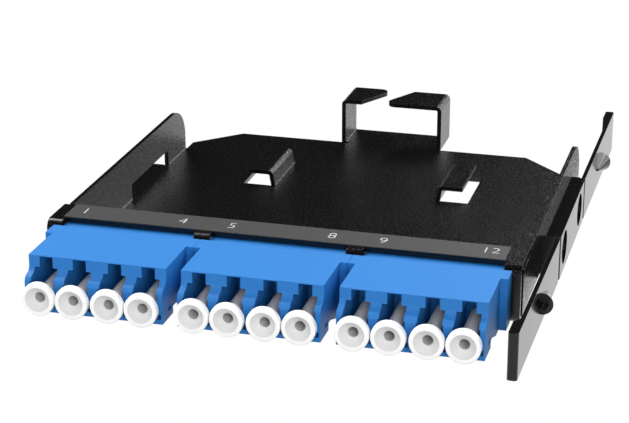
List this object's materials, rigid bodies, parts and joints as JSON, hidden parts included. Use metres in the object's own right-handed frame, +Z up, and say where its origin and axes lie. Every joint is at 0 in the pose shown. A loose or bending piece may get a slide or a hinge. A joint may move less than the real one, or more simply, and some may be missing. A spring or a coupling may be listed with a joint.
{
  "type": "fibre adapter panel",
  "caption": "Flat folded-steel fibre tray with blue quad adapters and white dust caps along the front, cable clips and hook behind, and a two-armed side latch.",
  "frame": {"origin": "mid-way between the tray's side walls, on the front panel's front face, level with the floor's underside", "axes": "+X to the latch side, +Y from the adapters to the rear hook, +Z up from the floor"},
  "size_m": [0.097, 0.1229, 0.0109],
  "materials": {
    "powder_coat": "fine-grained satin powder coat",
    "label_film": "matt grey film",
    "blue_plastic": "smooth satin moulding",
    "sleeve_bronze": "bright phosphor bronze",
    "spring_steel": "bright spring steel",
    "cap_plastic": "smooth white moulding",
    "latch_plastic": "glossy black moulding",
    "rivet_black": "black oxide"
  },
  "bodies": {
    "panel": {"tray": "powder_coat", "port_label": "label_film", "adapter_1_front_housing": "blue_plastic", "adapter_1_rear_housing": "blue_plastic", "adapter_1_sleeves": "sleeve_bronze", "adapter_1_side_springs": "spring_steel", "adapter_2_front_housing": "blue_plastic", "adapter_2_rear_housing": "blue_plastic", "adapter_2_sleeves": "sleeve_bronze", "adapter_2_side_springs": "spring_steel", "adapter_3_front_housing": "blue_plastic", "adapter_3_rear_housing": "blue_plastic", "adapter_3_sleeves": "sleeve_bronze", "adapter_3_side_springs": "spring_steel", "latch_block": "latch_plastic", "latch_rivets": "rivet_black"},
    "front_arm": {"front_release_arm": "latch_plastic"},
    "rear_arm": {"rear_release_arm": "latch_plastic"},
    "cap_01": {"dust_cap_01": "cap_plastic"},
    "cap_02": {"dust_cap_02": "cap_plastic"},
    "cap_03": {"dust_cap_03": "cap_plastic"},
    "cap_04": {"dust_cap_04": "cap_plastic"},
    "cap_05": {"dust_cap_05": "cap_plastic"},
    "cap_06": {"dust_cap_06": "cap_plastic"},
    "cap_07": {"dust_cap_07": "cap_plastic"},
    "cap_08": {"dust_cap_08": "cap_plastic"},
    "cap_09": {"dust_cap_09": "cap_plastic"},
    "cap_10": {"dust_cap_10": "cap_plastic"},
    "cap_11": {"dust_cap_11": "cap_plastic"},
    "cap_12": {"dust_cap_12": "cap_plastic"}
  },
  "joints": [
    {"name": "front_arm_press", "type": "hinge", "parent": "panel", "child": "front_arm", "pos_m": [0.0469, 0.0223, 0.00425], "axis": [0, 0, -1], "range_deg": [0, 5], "stiffness_Nm_per_rad": 1},
    {"name": "rear_arm_press", "type": "hinge", "parent": "panel", "child": "rear_arm", "pos_m": [0.0469, 0.0552, 0.00425], "axis": [0, 0, 1], "range_deg": [0, 5], "stiffness_Nm_per_rad": 1},
    {"name": "cap_01_pull", "type": "slide", "parent": "panel", "child": "cap_01", "axis": [0, -1, 0], "range_m": [0, 0.02]},
    {"name": "cap_02_pull", "type": "slide", "parent": "panel", "child": "cap_02", "axis": [0, -1, 0], "range_m": [0, 0.02]},
    {"name": "cap_03_pull", "type": "slide", "parent": "panel", "child": "cap_03", "axis": [0, -1, 0], "range_m": [0, 0.02]},
    {"name": "cap_04_pull", "type": "slide", "parent": "panel", "child": "cap_04", "axis": [0, -1, 0], "range_m": [0, 0.02]},
    {"name": "cap_05_pull", "type": "slide", "parent": "panel", "child": "cap_05", "axis": [0, -1, 0], "range_m": [0, 0.02]},
    {"name": "cap_06_pull", "type": "slide", "parent": "panel", "child": "cap_06", "axis": [0, -1, 0], "range_m": [0, 0.02]},
    {"name": "cap_07_pull", "type": "slide", "parent": "panel", "child": "cap_07", "axis": [0, -1, 0], "range_m": [0, 0.02]},
    {"name": "cap_08_pull", "type": "slide", "parent": "panel", "child": "cap_08", "axis": [0, -1, 0], "range_m": [0, 0.02]},
    {"name": "cap_09_pull", "type": "slide", "parent": "panel", "child": "cap_09", "axis": [0, -1, 0], "range_m": [0, 0.02]},
    {"name": "cap_10_pull", "type": "slide", "parent": "panel", "child": "cap_10", "axis": [0, -1, 0], "range_m": [0, 0.02]},
    {"name": "cap_11_pull", "type": "slide", "parent": "panel", "child": "cap_11", "axis": [0, -1, 0], "range_m": [0, 0.02]},
    {"name": "cap_12_pull", "type": "slide", "parent": "panel", "child": "cap_12", "axis": [0, -1, 0], "range_m": [0, 0.02]}
  ]
}
